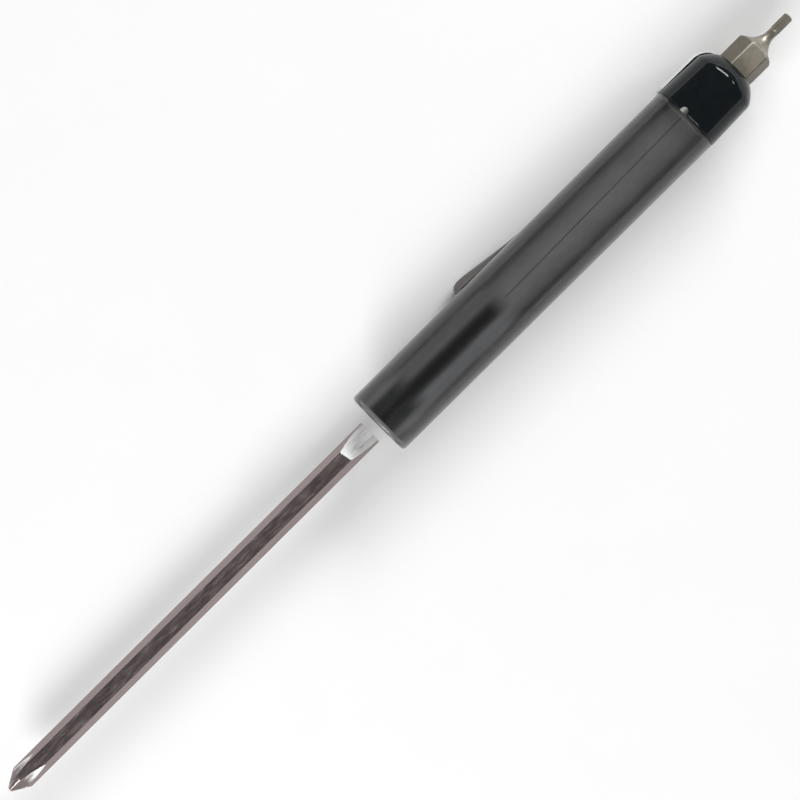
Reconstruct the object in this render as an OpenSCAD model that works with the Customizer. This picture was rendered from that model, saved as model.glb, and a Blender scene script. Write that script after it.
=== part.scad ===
// Pocket screwdriver with a reversible blade, a spare bit in its cap and a pocket clip.
// It lies along X, with the cap and the bit toward +X and the clip toward +Y, a little under the axis.
// The blade lies drawn out of the barrel, in line with the hole that holds it.

/* [Barrel] */
// Length from the mouth to the face that carries the cap
barrel_len = 73.7; // [62:0.1:90]
// Diameter at the mouth
mouth_d = 12.4; // [12:0.1:13]
// Diameter at the cap
barrel_top_d = 12.64; // [12.4:0.02:13]
// Rounding of the edge round the mouth
mouth_round = 0.66; // [0.3:0.02:1]
// Bore that takes the plug of the cap
cap_bore_d = 10.4; // [9.6:0.1:10.8]
// Width of the key that stops the cap from turning
key_w = 1.4; // [1:0.1:2]
// Height of the key above the end of the barrel
key_h = 0.9; // [0.6:0.1:1.4]

/* [Blade] */
// Width of the bar across its flats
blade_af = 3.9; // [3.5:0.05:4.1]
// Length of the bar over both tips
blade_len = 86.5; // [70:0.5:110]
// Depth of the hole that holds the blade
seat_depth = 29.5; // [20:0.5:35]
// How far the drawn-out blade lies from the mouth
drawn_out = 1.8; // [1:0.1:10]
// Depth by which the corners of the bar are rounded off
blade_corner = 0.03; // [0.01:0.01:0.1]
// Diameter of the bush that grips the blade
bush_d = 6.1; // [5.6:0.1:7]
// Length of the bush
bush_len = 8.2; // [5:0.1:12]

/* [Cross tip] */
// Diameter of the blunt nose
nose_d = 1.1; // [0.9:0.05:1.4]
// Rounding of the nose
nose_round = 0.3; // [0.1:0.05:0.4]
// Angle of the point from side to side
point_angle = 60; // [50:1:64]
// Radius of the wheel that cuts the flutes
flute_wheel_r = 23; // [14:0.5:26]
// Angle of a flute from side to side
flute_angle = 92; // [90:1:96]
// Distance from the axis to the flutes at the nose
flute_root = 0.35; // [0.25:0.05:0.45]
// Slope of the flutes at the nose
flute_slope = 3.5; // [2:0.5:6]
// Turn of the wings against the flats
wing_turn = 9; // [0:1:30]

/* [Slotted tip] */
// Thickness of the tip
slot_t = 1; // [0.6:0.05:1.2]
// Radius of the wheel that grinds the faces hollow
grind_wheel_r = 19.5; // [12:0.5:30]
// How far past the tip the wheel is set
grind_lead = 1.7; // [0.5:0.1:3]
// Turn of the ground faces against the flats
grind_turn = 5; // [0:1:10]
// Bevel of the two corners of the tip
slot_bevel = 0.25; // [0.1:0.05:0.5]

/* [End cap] */
// Height of the cap above the barrel
cap_h = 11.9; // [11.6:0.1:12.6]
// How far the rim stands proud of the barrel
rim_proud = 0.11; // [0.05:0.01:0.3]
// Rounding of the lower edge of the rim
rim_round = 0.35; // [0.1:0.05:0.5]
// How far the side draws in from the rim to the shoulder
cap_draft = 0.3; // [0.1:0.05:0.5]
// Height of the shoulder above the barrel
shoulder_h = 9.2; // [8.6:0.1:9.6]
// Radius of the domed top
dome_r = 6.88; // [6.7:0.02:7.4]
// Length of the plug inside the barrel
plug_len = 8; // [5:0.1:12]
// Diameter of the hollow in the end of the plug
plug_core_d = 7; // [5:0.1:8]
// Thickness of the web under the magnet
web_t = 1; // [0.6:0.1:2]

/* [Insert bit] */
// Width of the bit across its flats
bit_af = 6.35; // [6.2:0.05:6.4]
// Length of the bit
bit_len = 25.4; // [24:0.1:30]
// Depth of the bit in its socket
bit_seat = 12.3; // [10:0.1:13]
// Length of the slim shank with its tip
shank_len = 4.3; // [3.6:0.1:4.8]
// Length of the bevel at the front of the body
bit_bevel = 0.7; // [0.4:0.1:1]
// Length of the hollow neck
neck_len = 3.3; // [2.6:0.1:3.6]
// Radius of the hollow neck
neck_r = 3.8; // [3.7:0.1:6]
// Diameter of the slim shank
shank_d = 1.65; // [1.5:0.05:1.75]
// Diameter over the six lobes of the tip
lobe_d = 1.75; // [1.7:0.05:1.9]
// Diameter between the flutes of the tip
lobe_root_d = 1.27; // [1.1:0.01:1.35]
// Length of the fluted tip
lobe_len = 3.4; // [2:0.1:4]
// Turn of the tip's flutes against the flats
lobe_turn = 10.6; // [0:0.1:59.9]
// Turn of the bit's flats in the cap
bit_turn = 10.6; // [0:0.1:59.9]
// Diameter of the magnet under the bit
magnet_d = 5; // [4:0.1:6]
// Thickness of the magnet
magnet_t = 2; // [1:0.1:3]

/* [Clip] */
// Thickness of the sheet
clip_t = 0.4; // [0.3:0.05:0.6]
// How far round the barrel the clip lies below the level of the axis
clip_roll = 38; // [0:1:60]
// Half the angle that the head of the clip spans
head_spread = 42.5; // [25:0.5:60]
// Width of the arm
arm_w = 3.8; // [3:0.1:5]
// Length from the cap's rim to the middle of the ball
arm_len = 46.6; // [38:0.1:56]
// How far the arm rises to the top of the ball
arm_rise = 2.79; // [2:0.01:4]
// Slope of the rising arm
arm_slope = 11.5; // [8:0.5:16]
// Radius of the bend where the arm leaves the barrel
bend_r = 30; // [10:1:40]
// Radius of the bend on the ball
ball_bend_r = 8; // [4:0.5:12]
// Width of the ball
ball_w = 4; // [3.4:0.1:5]
// Length of the rounded end of the ball
ball_end = 2.25; // [1.5:0.05:3]
// Half the angle of the tongue that hooks into the cap
tongue_spread = 9; // [6:0.5:10]
// Depth of the tongue in the cap
tongue_depth = 2.7; // [1.5:0.1:4]

/* [Hidden] */
$fn = 96;

// Overrun of every cut past the face that it opens
over = 1;
// Clearance on each side of a piece that is pressed or bonded in place
fit = 0.05;
// Clearance of the blade and of the bit from the flats of their holes
slip = 0.05;
// Clearance between the clip and the cap
hug = 0.03;
// Clearance between the edges of the clip's arm and the barrel
edge_gap = 0.23;
// Clearance at the bottom of the plug's bore
plug_end_gap = 0.3;
// Turn of the key round the axis
key_turn = 170;
// Bevel at the mouth of the bush and at the tip of the plug
lead_in = 0.3;
// Wall between the bit's socket and the tongue of the clip
tongue_wall = 0.24;
// Bevel at the rear of the bit, and the notches in its corners
rear_bevel = 0.5;
notch_place = 9.5;
notch_r = 1.2;
notch_depth = 0.35;
// Bevel at the end of the bit's tip, and the length over which the shank widens to it
tip_bevel = 0.25;
tip_flare = 0.25;
// Radius of the tip's flutes as a share of the diameter between them
flute_share = 0.31;
// Length over which the arm's flat sheet is formed into a channel
form_len = 12;
// Roundings of the neck, and of the lower corners of the clip's head
neck_round = 0.8;
head_round = 1;
// Length of the neck between the cap's rim and the line where the arm starts to bend
neck_drop = 1.2;
// Faces across the arm, rings along each of its stretches, and how far its end is closed
arm_sides = 10;
form_steps = 5;
bend_steps = 6;
end_steps = 8;
end_turn = 89;
closed_share = 0.03;
// Fullness of the ball's rounded end, where 2 is an ellipse
fullness = 2.6;

// Radii of the barrel and of the cap
mouth_r = mouth_d / 2;
barrel_top_r = barrel_top_d / 2;
rim_r = barrel_top_r + rim_proud;
shoulder_r = rim_r - cap_draft;

// Places along the axis, counted from the mouth toward the cap
rim_z = barrel_len;
shoulder_z = rim_z + shoulder_h;
dome_z = shoulder_z - sqrt(pow(dome_r, 2) - pow(shoulder_r, 2));
cap_top_z = rim_z + cap_h;
bit_z = cap_top_z - bit_seat;
bit_tip_z = bit_z + bit_len;
bit_body_len = bit_len - shank_len - neck_len - bit_bevel;
magnet_z = bit_z - magnet_t;
plug_z = rim_z - plug_len;
slot_z = -drawn_out;
cross_z = slot_z - blade_len;

// Radii of the six-sided bars over their corners
blade_corner_r = blade_af / 2 / cos(30) - blade_corner;
bit_corner_r = bit_af / 2 / cos(30);

// Clip: outer radius along the barrel, level of the arm's edges, top of the ball
clip_r = rim_r + hug + clip_t;
arm_edge = sqrt(pow(barrel_top_r, 2) - pow(arm_w / 2, 2)) + edge_gap;
ball_top = clip_r + arm_rise;
ball_depth = ball_top - arm_edge;
ball_z = rim_z - arm_len;
// Line across the neck of the clip where the arm starts to bend
split_z = rim_z - neck_drop;
tongue_r = bit_corner_r + slip + tongue_wall;

// The arm's stretches, from the ball back to the cap
ball_bend_len = ball_bend_r * sin(arm_slope);
ball_bend_rise = ball_bend_r * (1 - cos(arm_slope));
bend_len = bend_r * sin(arm_slope);
bend_rise = bend_r * (1 - cos(arm_slope));
ramp_len = (arm_rise - ball_bend_rise - bend_rise) / tan(arm_slope);
ramp_z = ball_z + ball_bend_len;
bend_z = ramp_z + ramp_len;
flat_z = bend_z + bend_len;

// Reach of the ball to the side of the axis and under it, and of the head's edge under it
ball_side = cos(clip_roll) * arm_edge
    + norm([ball_depth * cos(clip_roll), ball_w / 2 * sin(clip_roll)]);
ball_under = sin(clip_roll) * arm_edge
    + norm([ball_depth * sin(clip_roll), ball_w / 2 * cos(clip_roll)]);
head_under = (clip_r - cap_draft * head_round / shoulder_h) * sin(min(clip_roll + head_spread, 90));

// Place of the barrel's mouth, with the origin under the middle of the whole tool
mouth_place = [
    -(cross_z + bit_tip_z) / 2,
    -(max(ball_side, clip_r) - rim_r) / 2,
    max(ball_under, head_under, rim_r)
];

// The pieces are drawn upright over the barrel's mouth, and lie along X here
module laid_down() {
    translate(mouth_place) rotate([0, 90, 0]) children();
}

// Turns a piece drawn toward X so that it faces the clip's side
module toward_clip() {
    rotate([0, 0, 90 - clip_roll]) children();
}

// Six-sided bar with a flat toward X
module hex_bar(af, length) {
    rotate([0, 0, 30]) cylinder(r = af / 2 / cos(30), h = length, $fn = 6);
}

// Key on the end of the barrel, or the notch for it in the rim of the cap
module key(gap) {
    half = key_w / 2;
    rotate([0, 0, key_turn])
        translate([cap_bore_d / 2 - gap, 0, rim_z])
            rotate([90, 0, 90])
                linear_extrude(rim_r) {
                    translate([-half - gap, -over]) square([key_w + 2 * gap, over + key_h - half]);
                    translate([0, key_h - half]) circle(r = half + gap);
                }
}

module barrel_body() {
    rotate_extrude() {
        polygon([
            [0, 0],
            [mouth_r - mouth_round, 0],
            [mouth_r, mouth_round],
            [barrel_top_r, rim_z],
            [0, rim_z]
        ]);
        translate([mouth_r - mouth_round, mouth_round]) circle(r = mouth_round);
    }
}

module barrel() {
    color([0.3, 0.3, 0.31])
        laid_down() {
            difference() {
                barrel_body();
                translate([0, 0, -over]) cylinder(r = bush_d / 2 + fit, h = bush_len + over);
                translate([0, 0, -over]) hex_bar(blade_af + 2 * slip, seat_depth + over);
                translate([0, 0, plug_z - plug_end_gap])
                    cylinder(r = cap_bore_d / 2, h = plug_len + plug_end_gap + over);
            }
            intersection() {
                key(0);
                translate([0, 0, rim_z - over]) cylinder(r = barrel_top_r, h = key_h + 2 * over);
            }
        }
}

module blade_bush() {
    color([0.12, 0.12, 0.13])
        laid_down()
            difference() {
                translate([0, 0, fit]) cylinder(r = bush_d / 2, h = bush_len - fit);
                translate([0, 0, -over]) hex_bar(blade_af + 2 * slip, bush_len + 2 * over);
                translate([0, 0, fit - over])
                    cylinder(
                        r1 = blade_corner_r + slip + lead_in + over,
                        r2 = blade_corner_r + slip,
                        h = over + lead_in
                    );
            }
}

// Blunt cone that the cross tip is turned to
module point_turned() {
    half = point_angle / 2;
    flat_r = nose_d / 2 - nose_round;
    touch = [flat_r + nose_round * cos(half), nose_round - nose_round * sin(half)];
    far = blade_corner_r + over;
    translate([0, 0, cross_z])
        rotate_extrude() {
            polygon([
                [0, 0],
                [flat_r, 0],
                touch,
                [far, touch.y + (far - touch.x) / tan(half)],
                [far, blade_len + over],
                [0, blade_len + over]
            ]);
            intersection() {
                translate([flat_r, nose_round]) circle(r = nose_round);
                square([far, 2 * nose_round]);
            }
        }
}

// Wheel with a V edge that leaves one flute between two wings
module flute_wheel() {
    edge = blade_corner_r + over;
    half = flute_angle / 2;
    translate([flute_root + flute_wheel_r * cos(flute_slope), 0, cross_z - flute_wheel_r * sin(flute_slope)])
        rotate([90, 0, 0])
            rotate_extrude()
                polygon([
                    [flute_wheel_r, 0],
                    [flute_wheel_r - edge, edge * tan(half)],
                    [0, edge * tan(half)],
                    [0, -edge * tan(half)],
                    [flute_wheel_r - edge, -edge * tan(half)]
                ]);
}

// Wheel that grinds one face of the slotted tip hollow
module grind_wheel() {
    height = slot_t / 2 + sqrt(pow(grind_wheel_r, 2) - pow(grind_lead, 2));
    translate([height, 0, slot_z + grind_lead])
        rotate([90, 0, 0])
            cylinder(r = grind_wheel_r, h = 2 * blade_af, center = true, $fn = 360);
}

module slot_bevels() {
    for (side = [-1, 1])
        translate([0, side * blade_af / 2 / cos(30), slot_z])
            rotate([45, 0, 0])
                cube([blade_af, 2 * slot_bevel * sin(45), 2 * slot_bevel * sin(45)], center = true);
}

module blade() {
    color([0.62, 0.59, 0.57])
        laid_down()
            difference() {
                intersection() {
                    translate([0, 0, cross_z]) hex_bar(blade_af, blade_len);
                    translate([0, 0, cross_z]) cylinder(r = blade_corner_r, h = blade_len);
                    point_turned();
                }
                for (turn = [45:90:315])
                    rotate([0, 0, turn - wing_turn]) flute_wheel();
                for (turn = [0, 180])
                    rotate([0, 0, turn - grind_turn]) grind_wheel();
                rotate([0, 0, -grind_turn]) slot_bevels();
            }
}

// Form of the cap's side and dome, grown by a gap and carried down to the neck of the clip
module cap_form(gap) {
    top = dome_z + dome_r + over;
    top_r = rim_r - cap_draft * (top - rim_z) / shoulder_h;
    intersection() {
        polygon([
            [0, split_z],
            [rim_r + gap, split_z],
            [rim_r + gap, rim_z],
            [top_r + gap, top],
            [0, top]
        ]);
        union() {
            translate([0, split_z]) square([rim_r + gap + over, dome_z - split_z]);
            translate([0, dome_z]) circle(r = dome_r + gap);
        }
    }
}

// Outline of the cap above the barrel, with its rounded rim
module cap_outline() {
    low = rim_z + rim_round;
    intersection() {
        cap_form(0);
        union() {
            translate([0, low]) square([rim_r + over, cap_h - rim_round]);
            translate([0, rim_z]) square([rim_r - rim_round, cap_h]);
            translate([rim_r - rim_round, low]) circle(r = rim_round);
        }
    }
}

module end_cap() {
    color([0.09, 0.1, 0.11])
        laid_down()
            difference() {
                union() {
                    rotate_extrude() cap_outline();
                    translate([0, 0, plug_z])
                        cylinder(r1 = cap_bore_d / 2 - fit - lead_in, r2 = cap_bore_d / 2 - fit, h = lead_in);
                    translate([0, 0, plug_z + lead_in])
                        cylinder(r = cap_bore_d / 2 - fit, h = plug_len - lead_in + rim_round);
                }
                rotate([0, 0, bit_turn]) translate([0, 0, bit_z]) hex_bar(bit_af + 2 * slip, bit_seat + over);
                translate([0, 0, magnet_z]) cylinder(r = magnet_d / 2 + fit, h = magnet_t + over);
                translate([0, 0, plug_z - over])
                    cylinder(r = plug_core_d / 2, h = magnet_z - web_t - plug_z + over);
                key(fit);
                toward_clip() tongue(fit);
            }
}

module bit_magnet() {
    color([0.7, 0.71, 0.72])
        laid_down()
            translate([0, 0, magnet_z]) cylinder(r = magnet_d / 2, h = magnet_t);
}

// Turned outline of the bit: rear bevel, corner notches, front bevel, hollow neck, shank and tip
module bit_outline() {
    shank_r = shank_d / 2;
    lobe_r = lobe_d / 2;
    bevel_end = bit_body_len + bit_bevel;
    neck_end = bevel_end + neck_len;
    neck_start_r = shank_r + neck_r - sqrt(pow(neck_r, 2) - pow(neck_len, 2));
    tip_start = bit_len - lobe_len;
    difference() {
        polygon([
            [0, 0],
            [bit_corner_r - rear_bevel, 0],
            [bit_corner_r, rear_bevel],
            [bit_corner_r, bit_body_len],
            [neck_start_r, bevel_end],
            [neck_start_r, neck_end],
            [shank_r, neck_end],
            [shank_r, tip_start - tip_flare],
            [lobe_r, tip_start],
            [lobe_r, bit_len - tip_bevel],
            [lobe_r - tip_bevel, bit_len],
            [0, bit_len]
        ]);
        translate([bit_corner_r + notch_r - notch_depth, notch_place]) circle(r = notch_r);
        intersection() {
            translate([shank_r + neck_r, neck_end]) circle(r = neck_r);
            translate([0, bevel_end]) square([bit_corner_r, neck_len]);
        }
    }
}

// One of the six flutes of the tip, with a rounded run-out
module lobe_flute() {
    flute_r = lobe_root_d * flute_share;
    translate([lobe_root_d / 2 + flute_r, 0, bit_len - lobe_len]) {
        sphere(r = flute_r);
        cylinder(r = flute_r, h = lobe_len + over);
    }
}

module insert_bit() {
    color([0.55, 0.52, 0.46])
        laid_down()
            translate([0, 0, bit_z])
                rotate([0, 0, bit_turn])
                    difference() {
                        intersection() {
                            hex_bar(bit_af, bit_len);
                            rotate_extrude() bit_outline();
                        }
                        for (turn = [0:60:300])
                            rotate([0, 0, turn - lobe_turn]) lobe_flute();
                    }
}

// Tongue of the clip, or the slot that takes it, drawn toward X
module tongue(gap) {
    low = cap_top_z - tongue_depth - gap;
    intersection() {
        rotate_extrude()
            translate([tongue_r - gap, low]) square([clip_t + 2 * gap, tongue_depth + over]);
        wedge(tongue_spread + atan(gap / tongue_r), low, tongue_depth + 2 * over);
    }
}

// Wedge round X that spans an angle to each side of it
module wedge(spread, low, height) {
    far = 2 * rim_r;
    translate([0, 0, low])
        linear_extrude(height)
            polygon([[0, 0], [far * cos(spread), -far * sin(spread)], [far * cos(spread), far * sin(spread)]]);
}

// The head seen along its middle: rounded lower corners, and the neck with its fillets
module head_outline() {
    half = clip_r * sin(head_spread);
    neck = arm_w / 2;
    difference() {
        union() {
            translate([-half, rim_z]) square([2 * half, cap_h + over]);
            translate([-neck - neck_round, rim_z - neck_round])
                square([2 * (neck + neck_round), neck_round + over]);
            translate([-neck, split_z]) square([2 * neck, neck_drop + over]);
        }
        for (side = [-1, 1]) {
            translate([side * (neck + neck_round), rim_z - neck_round]) circle(r = neck_round);
            difference() {
                translate([side * half, rim_z]) square(2 * head_round, center = true);
                translate([side * (half - head_round), rim_z + head_round]) circle(r = head_round);
            }
        }
    }
}

module clip_head() {
    color([0.75, 0.75, 0.74])
        laid_down()
            toward_clip() {
                intersection() {
                    rotate_extrude()
                        difference() {
                            cap_form(hug + clip_t);
                            cap_form(hug);
                            translate([0, split_z - over])
                                square([tongue_r + clip_t / 2, neck_drop + cap_h + 2 * over]);
                        }
                    wedge(head_spread, split_z, neck_drop + cap_h + over);
                    rotate([90, 0, 90]) linear_extrude(2 * rim_r) head_outline();
                }
                intersection() {
                    tongue(0);
                    rotate_extrude() cap_form(hug + clip_t);
                }
            }
}

// Outer level of the arm at a place along the axis
function arm_top(z) =
    z > flat_z ? clip_r
    : z > bend_z ? clip_r + bend_r - sqrt(pow(bend_r, 2) - pow(flat_z - z, 2))
    : z > ramp_z ? clip_r + bend_rise + (bend_z - z) * tan(arm_slope)
    : ball_top - ball_bend_r + sqrt(pow(ball_bend_r, 2) - pow(max(z - ball_z, 0), 2));

// Half the width of the arm, which grows from the bend to the ball
function arm_half(z) =
    arm_w / 2 + (ball_w - arm_w) / 2 * min(max((bend_z - z) / (bend_z - ball_z), 0), 1);

// How far the sheet is formed: 0 where it follows the barrel, 1 where it is a half round channel
function arm_form(z) =
    let (part = min((split_z - z) / form_len, 1)) part * part * (3 - 2 * part);

// Share of its full section that the rounded end has at a place
function end_share(z, length) =
    pow(max(1 - pow(max(ball_z - z, 0) / length, fullness), pow(closed_share, fullness)), 1 / fullness);

// Point of the arm's section at a turn from its middle, on the outside or one sheet's thickness in
function arm_point(z, turn, depth) =
    let (
        top = arm_top(z) - depth,
        size = end_share(z, ball_end - depth),
        channel = [
            arm_edge + (top - arm_edge) * cos(turn) * size,
            (arm_half(z) - depth) * sin(turn) * size
        ],
        across = arm_half(z) * sin(turn) * top / arm_top(z),
        wrap = [sqrt(pow(top, 2) - pow(across, 2)), across],
        flat = wrap + (channel - wrap) * arm_form(z)
    )
    [flat.x, flat.y, z];

function arm_ring(z) = concat(
    [for (i = [0:arm_sides]) arm_point(z, 180 * i / arm_sides - 90, 0)],
    [for (i = [0:arm_sides]) arm_point(z, 90 - 180 * i / arm_sides, clip_t)]
);

module clip_arm() {
    stations = concat(
        [for (i = [0:form_steps]) split_z - form_len * i / form_steps],
        [for (i = [0:bend_steps]) flat_z - bend_len * i / bend_steps],
        [for (i = [0:bend_steps]) ramp_z - ball_bend_len * i / bend_steps],
        [for (i = [1:end_steps]) ball_z - ball_end * sin(end_turn * i / end_steps)]
    );
    count = 2 * (arm_sides + 1);
    last = count * (len(stations) - 1);
    skin = [
        for (ring = [0:len(stations) - 2], i = [0:count - 1])
            let (
                here = ring * count + i,
                next = ring * count + (i + 1) % count
            )
            each [[here, here + count, next], [next, here + count, next + count]]
    ];
    ends = [
        for (i = [0:arm_sides - 1])
            let (far = count - 1 - i)
            each [
                [i, i + 1, far],
                [i + 1, far - 1, far],
                [last + i, last + far, last + i + 1],
                [last + i + 1, last + far, last + far - 1]
            ]
    ];
    color([0.75, 0.75, 0.74])
        laid_down()
            toward_clip()
                polyhedron([for (z = stations) each arm_ring(z)], concat(skin, ends));
}

barrel();
blade_bush();
blade();
end_cap();
bit_magnet();
insert_bit();
clip_head();
clip_arm();
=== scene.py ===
import math

import bpy
import numpy as np
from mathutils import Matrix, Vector


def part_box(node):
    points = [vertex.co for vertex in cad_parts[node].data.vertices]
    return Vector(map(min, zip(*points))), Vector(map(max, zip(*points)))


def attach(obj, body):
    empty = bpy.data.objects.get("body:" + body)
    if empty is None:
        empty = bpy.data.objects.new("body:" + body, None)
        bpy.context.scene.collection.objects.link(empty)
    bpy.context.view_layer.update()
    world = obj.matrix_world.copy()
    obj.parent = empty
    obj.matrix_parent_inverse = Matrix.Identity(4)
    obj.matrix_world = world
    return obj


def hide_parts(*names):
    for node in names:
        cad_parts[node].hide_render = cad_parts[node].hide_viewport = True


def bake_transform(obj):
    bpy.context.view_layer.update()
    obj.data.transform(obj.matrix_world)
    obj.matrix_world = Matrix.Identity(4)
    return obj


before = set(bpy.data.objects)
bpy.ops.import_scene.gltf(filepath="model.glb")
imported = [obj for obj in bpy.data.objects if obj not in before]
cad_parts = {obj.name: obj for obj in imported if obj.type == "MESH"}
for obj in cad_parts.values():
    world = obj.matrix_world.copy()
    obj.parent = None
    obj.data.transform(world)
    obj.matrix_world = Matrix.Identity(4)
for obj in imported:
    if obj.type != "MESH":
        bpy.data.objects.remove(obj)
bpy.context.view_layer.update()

MM = 0.001

# Sizes of the tool in millimetres and turns round its axis in degrees. Places along it are counted from the
# barrel's mouth toward the cap. _R is a radius, _H a height, _W a width, _T a thickness.

# Barrel
RIM = 73.7
MOUTH_R = 6.2
TOP_R = 6.32
MOUTH_ROUND = 0.66
END_ROUND = 0.06
END_LAND = 1.0
END_STEP = 0.1
BUSH_R = 3.1
BUSH_LEN = 8.2
SEAT_DEPTH = 29.5
HOLE_FLATS = 4.0
CLOSED_R = 0.05

# Key of the barrel
KEY_TURN = 80
KEY_HALF_W = 0.7
KEY_H = 0.9
KEY_ROOT = 0.2
KEY_INNER_R = 5.3
KEY_PROUD = 0.05
KEY_DROP = -0.02

# Core of the barrel, whose colour is painted light and shade, and the fine dark line on it
CORE_R = 3.28
CORE_START = 0.15
CORE_FRONT = 1.0
CORE_END = 73.65
CORE_SEAT_R = 3.95
CORE_OFF_HOLE = 0.03
CORE_OFF_BUSH = 0.02
CORE_OFF_FLOOR = 0.1
CORE_OFF_SOCKET = 0.05
CORE_OFF_SOCKET_FLOOR = 0.03
CORE_WIDENS_FROM = 0.2
CORE_WIDENS_TO = 0.05
LINE_HALF_W = 0.05
LINE_START = 30.5
LINE_END = 73.3
LINE_TURNS = (89, 80)
LINE_PROUD = 0.02

# End cap
CAP_TOP = 85.6
RIM_R = 6.43
RIM_ROUND = 0.35
RIM_HOLLOW = 0.9
CAP_DRAFT = 0.3
SHOULDER = 82.9
SHOULDER_BLEND = 0.45
SHOULDER_INSET = 0.22
SHOULDER_R = RIM_R - CAP_DRAFT
DOME_R = 6.88
DOME_AT = SHOULDER - math.sqrt(DOME_R**2 - SHOULDER_R**2)
SOCKET_FLATS = 6.45
SOCKET_FLOOR = 73.3
SOCKET_LIP = 0.08
LIP_MIDDLE = 0.3
BIT_TURN = 10.6
FIT = 0.05

# Clip
CLIP_T = 0.4
CLIP_R = 6.86
CLIP_TURN = -38
CLIP_EDGE_ROUND = 0.06
HEAD_SPREAD = 42.5
HEAD_HALF_W = 4.63
HEAD_ROUND = 1.0
HEAD_BEND = 3.95
HEAD_BEND_AT = (81.9, 2.85)
HEAD_END_R = 4.16
NECK_ROUND = 0.8
SPLIT = 72.5
ARM_W = 3.8
ARM_EDGE = 6.258
ARM_SLOPE = 11.5
BEND_R = 30
BEND_START = 44.64
RAMP_START = 38.66
RAMP_END = 28.695
BALL = 27.1
BALL_TOP = 9.65
BALL_BEND_R = 8
BALL_W = 4
BALL_END = 2.25
FULLNESS = 2.6
FORM_LEN = 12
CLOSED_SHARE = 0.03

# Blade
BLADE_FLATS = 3.9
BLADE_CORNER_R = 2.222
CROSS_END = -88.3
CROSS_LEN = 10.5
TIP_CROWDING = 1.3
SLOT_END = -1.8
SLOT_FROM = -9.5
SHAFT_RINGS = (-70, -55, -40, -25, -15)
NOSE_R = 0.55
NOSE_ROUND = 0.3
POINT_HALF_ANGLE = 30
WING_TURN = 81
FLUTE_ROOT = 0.35
FLUTE_WHEEL_R = 23
FLUTE_SLOPE = 3.5
FLUTE_HALF_ANGLE = 46
GRIND_TURN = 85
GRIND_WHEEL_R = 19.5
GRIND_LEAD = 1.7
SLOT_HALF_T = 0.5
SLOT_BEVEL = 0.25

# Bit
BIT_FLATS = 6.35
BIT_CORNER_R = 3.666
BIT_START = 73.3
BODY_RINGS = (80, 86, 89, 90.2)
BIT_FRONT = 90.3
BIT_FRONT_END = 94.7
BIT_TIP = 94.75
BODY_END = 90.4
BEVEL_END = 91.1
NECK_END = 94.4
NECK_R = 3.8
SHANK_R = 0.825
SWELL_LEN = 0.5
LOBE_R = 0.875
LOBE_CUT_START = 95.3
LOBE_CUT_R = 0.3937
LOBE_CUT_CENTRE = 1.0287
LOBE_CUT_TURN = 30
TIP_END = 98.7
TIP_BEVEL = 0.25

# Limits of the blade's and the bit's radius
NO_CUT = 50
EDGE_SOFTNESS = 0.012
LEAST_R = 0.02
LEAST_SHARE = 0.01

barrel_low, barrel_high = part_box("barrel")
MOUTH_X = barrel_low.x
AXIS_Y = (barrel_low.y + barrel_high.y) / 2
AXIS_Z = (barrel_low.z + barrel_high.z) / 2


# Meshes


def even(start, end, steps):
    """Numbers from start to end at even steps, both included."""
    return [start + (end - start) * i / steps for i in range(steps + 1)]


def even_turns(count, first=0.0):
    return [first + 360 * i / count for i in range(count)]


SKIN_TURNS = 192
CORE_TURNS = 96
BAR_TURNS = 360
ROUND_ANGLES = even(15, 90, 5)


def spot(along, radius, turn):
    """Point at a distance from the mouth, a radius and a turn, counted from the clip's side upward."""
    angle = math.radians(turn)
    return Vector((
        MOUTH_X + along * MM,
        AXIS_Y + radius * MM * math.cos(angle),
        AXIS_Z + radius * MM * math.sin(angle),
    ))


def mesh_object(name, points, faces, sharp=32):
    mesh = bpy.data.meshes.new(name)
    mesh.from_pydata([tuple(p) for p in points], [], faces)
    mesh.validate()
    for face in mesh.polygons:
        face.use_smooth = True
    mesh.set_sharp_from_angle(angle=math.radians(sharp))
    piece = bpy.data.objects.new(name, mesh)
    bpy.context.scene.collection.objects.link(piece)
    return piece


def closed_skin(name, rings, sharp=32):
    """Mesh through rings of equal length, each closed, with a fan over the first and the last."""
    count = len(rings[0])
    points = [p for ring in rings for p in ring]
    faces = []
    for k in range(len(rings) - 1):
        for i in range(count):
            j = (i + 1) % count
            faces.append((k * count + i, k * count + j, (k + 1) * count + j, (k + 1) * count + i))
    for ring, start, step in ((rings[0], 0, -1), (rings[-1], (len(rings) - 1) * count, 1)):
        points.append(sum(ring, Vector()) / count)
        middle = len(points) - 1
        for i in range(count):
            pair = (start + i, start + (i + 1) % count)
            faces.append((middle, *pair[::step]))
    return mesh_object(name, points, faces, sharp)


def lathe(name, turns, path, sharp=32):
    """Closed skin whose outline path(turn), a list of (along, radius), may change with the turn."""
    outlines = [path(turn) for turn in turns]
    rings = [
        [spot(*outline[k], turn) for outline, turn in zip(outlines, turns)]
        for k in range(len(outlines[0]))
    ]
    return closed_skin(name, rings, sharp)


def radial_skin(name, alongs, turns, radius_at, sharp=32):
    """Closed skin with the radii radius_at(along, turns) at each place along the tool."""
    angle = np.radians(np.array(turns))
    rings = []
    for along in alongs:
        radius = radius_at(along, np.array(turns))
        ys = AXIS_Y + radius * MM * np.cos(angle)
        zs = AXIS_Z + radius * MM * np.sin(angle)
        x = MOUTH_X + along * MM
        rings.append([Vector((x, float(y), float(z))) for y, z in zip(ys, zs)])
    return closed_skin(name, rings, sharp)


def arc(centre, radius, start, end, steps):
    """Points of an arc in (along, radius), with its angles in degrees from the axis outward."""
    return [
        (
            centre[0] + radius * math.cos(math.radians(angle)),
            centre[1] + radius * math.sin(math.radians(angle)),
        )
        for angle in even(start, end, steps)
    ]


def hexagon(turns, flats, flat_turn):
    """Radius of a hexagon at one turn or at an array of turns, where one flat faces flat_turn."""
    away = np.radians((turns - flat_turn + 30) % 60 - 30)
    return flats / 2 / np.cos(away)


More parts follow.
